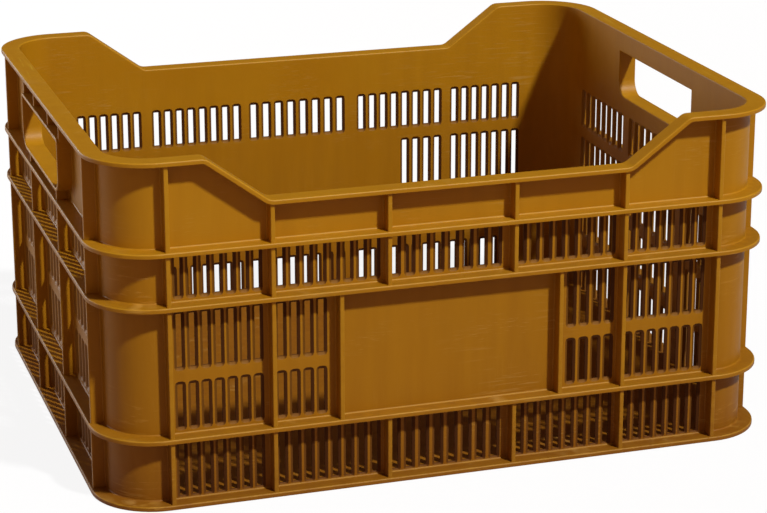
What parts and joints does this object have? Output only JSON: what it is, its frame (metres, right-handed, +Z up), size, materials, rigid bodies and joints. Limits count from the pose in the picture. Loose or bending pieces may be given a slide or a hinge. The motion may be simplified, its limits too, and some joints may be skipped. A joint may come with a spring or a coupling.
{
  "type": "plastic crate",
  "caption": "Ventilated plastic crate with flanged and ribbed walls, slotted sides and floor, a hand hole in each short side and a lowered rim on the long sides.",
  "frame": {"origin": "middle of the footprint, on the ground", "axes": "+X along the long side, +Y away from the viewer of the pictured long side, +Z up"},
  "size_m": [0.5, 0.402, 0.247],
  "materials": {
    "crate": "satin ochre"
  },
  "bodies": {
    "root": {"crate": "crate"}
  },
  "joints": []
}
